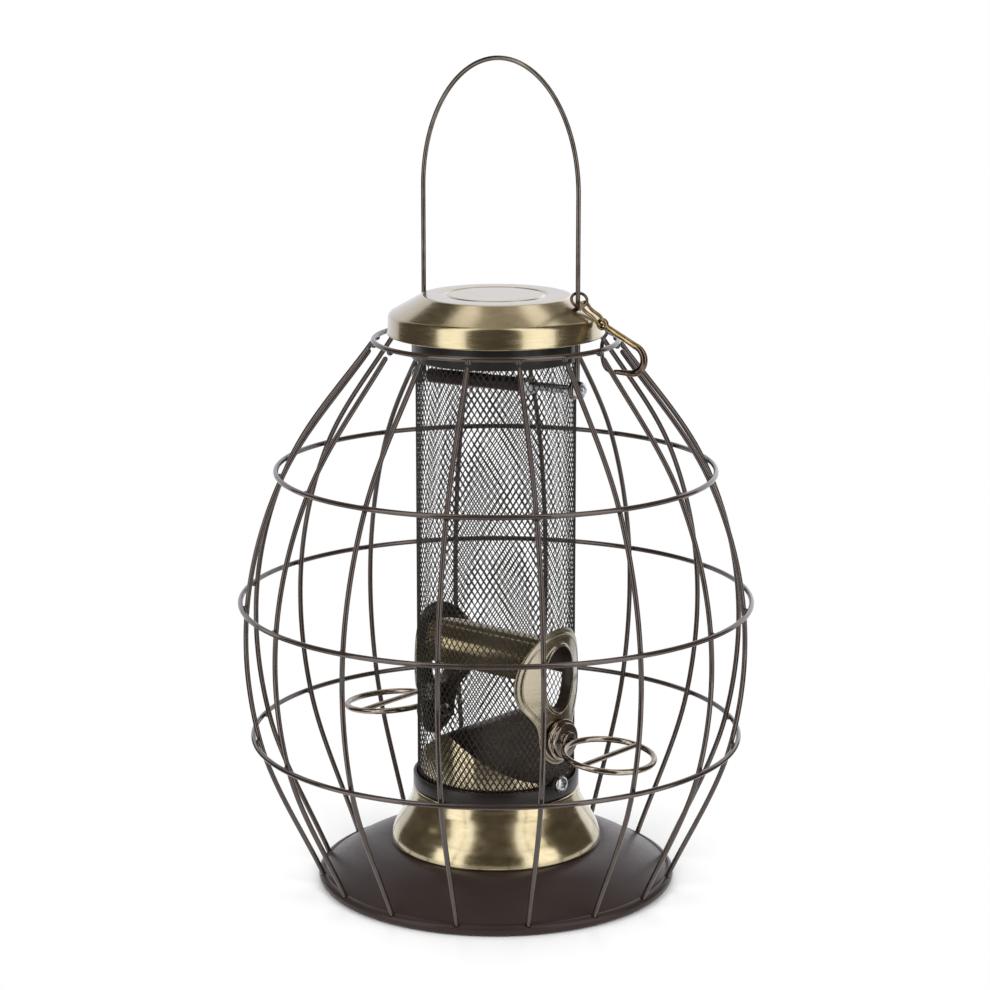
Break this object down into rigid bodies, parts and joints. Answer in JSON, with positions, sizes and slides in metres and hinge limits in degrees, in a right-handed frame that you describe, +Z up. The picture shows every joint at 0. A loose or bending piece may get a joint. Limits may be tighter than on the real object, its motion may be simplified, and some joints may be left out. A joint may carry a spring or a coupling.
{
  "type": "squirrel proof bird feeder",
  "caption": "Hanging seed feeder: a mesh tube with a lift-off lid, feeding ports with ring perches, a base tray and a round wire cage that keeps squirrels off",
  "frame": {"origin": "middle of the foot, on the surface that the feeder stands on", "axes": "+Z up, along the seed tube; the two feeding ports look along +X and -X; the bail and the lid clip lie in the upright plane 10 degrees round from +X towards +Y"},
  "size_m": [0.2422, 0.2422, 0.3896],
  "materials": {
    "cage_wire": "dark brown satin coated wire",
    "dark_sheet": "dark brown satin coated sheet",
    "mesh": "dark brown coated expanded metal",
    "brass_sheet": "antique brass, satin",
    "perch_brass": "dark antique brass, glossy",
    "bail_wire": "dark drawn steel wire",
    "zinc": "bright zinc plate"
  },
  "bodies": {
    "root": {"cage_neck_ring": "cage_wire", "cage_upper_hoop": "cage_wire", "cage_middle_hoop": "cage_wire", "cage_lower_hoop": "cage_wire", "cage_foot_ring": "cage_wire", "cage_rib_01": "cage_wire", "cage_rib_02": "cage_wire", "cage_rib_03": "cage_wire", "cage_rib_04": "cage_wire", "cage_rib_05": "cage_wire", "cage_rib_06": "cage_wire", "cage_rib_07": "cage_wire", "cage_rib_08": "cage_wire", "cage_rib_09": "cage_wire", "cage_rib_10": "cage_wire", "cage_rib_11": "cage_wire", "cage_rib_12": "cage_wire", "cage_rib_13": "cage_wire", "cage_rib_14": "cage_wire", "cage_rib_15": "cage_wire", "cage_rib_16": "cage_wire", "tray": "dark_sheet", "base_cone": "brass_sheet", "bottom_collar": "dark_sheet", "mesh_tube": "mesh", "top_collar": "dark_sheet", "bail": "bail_wire", "cross_bolt": "zinc", "cross_bolt_nut": "zinc", "cross_bolt_sleeve": "dark_sheet", "cross_bolt_lock_nut": "zinc", "port_plate_right": "brass_sheet", "port_plate_left": "brass_sheet", "perch_boss_right": "perch_brass", "perch_boss_left": "perch_brass", "perch_right": "perch_brass", "perch_left": "perch_brass", "perch_nut_right": "zinc", "perch_nut_left": "zinc", "hood_baffle": "brass_sheet", "seed_deflector": "brass_sheet", "collar_screw_right": "zinc", "collar_screw_left": "zinc", "base_bolt": "zinc", "wing_nut": "zinc"},
    "lid": {"lid": "brass_sheet"},
    "clip": {"clip_ring": "perch_brass", "clip_strap": "perch_brass", "clip_hook": "perch_brass", "clip_gate": "cage_wire"}
  },
  "joints": [
    {"name": "lid_lift", "type": "slide", "parent": "root", "child": "lid", "axis": [0, 0, 1], "range_m": [0, 0.05], "deforming": ["clip_gate"]},
    {"name": "clip_swing", "type": "hinge", "parent": "lid", "child": "clip", "pos_m": [0.03979, 0.01047, 0.28161], "axis": [0.1736, -0.9848, 0], "range_deg": [0, 40], "deforming": ["clip_gate"]}
  ]
}
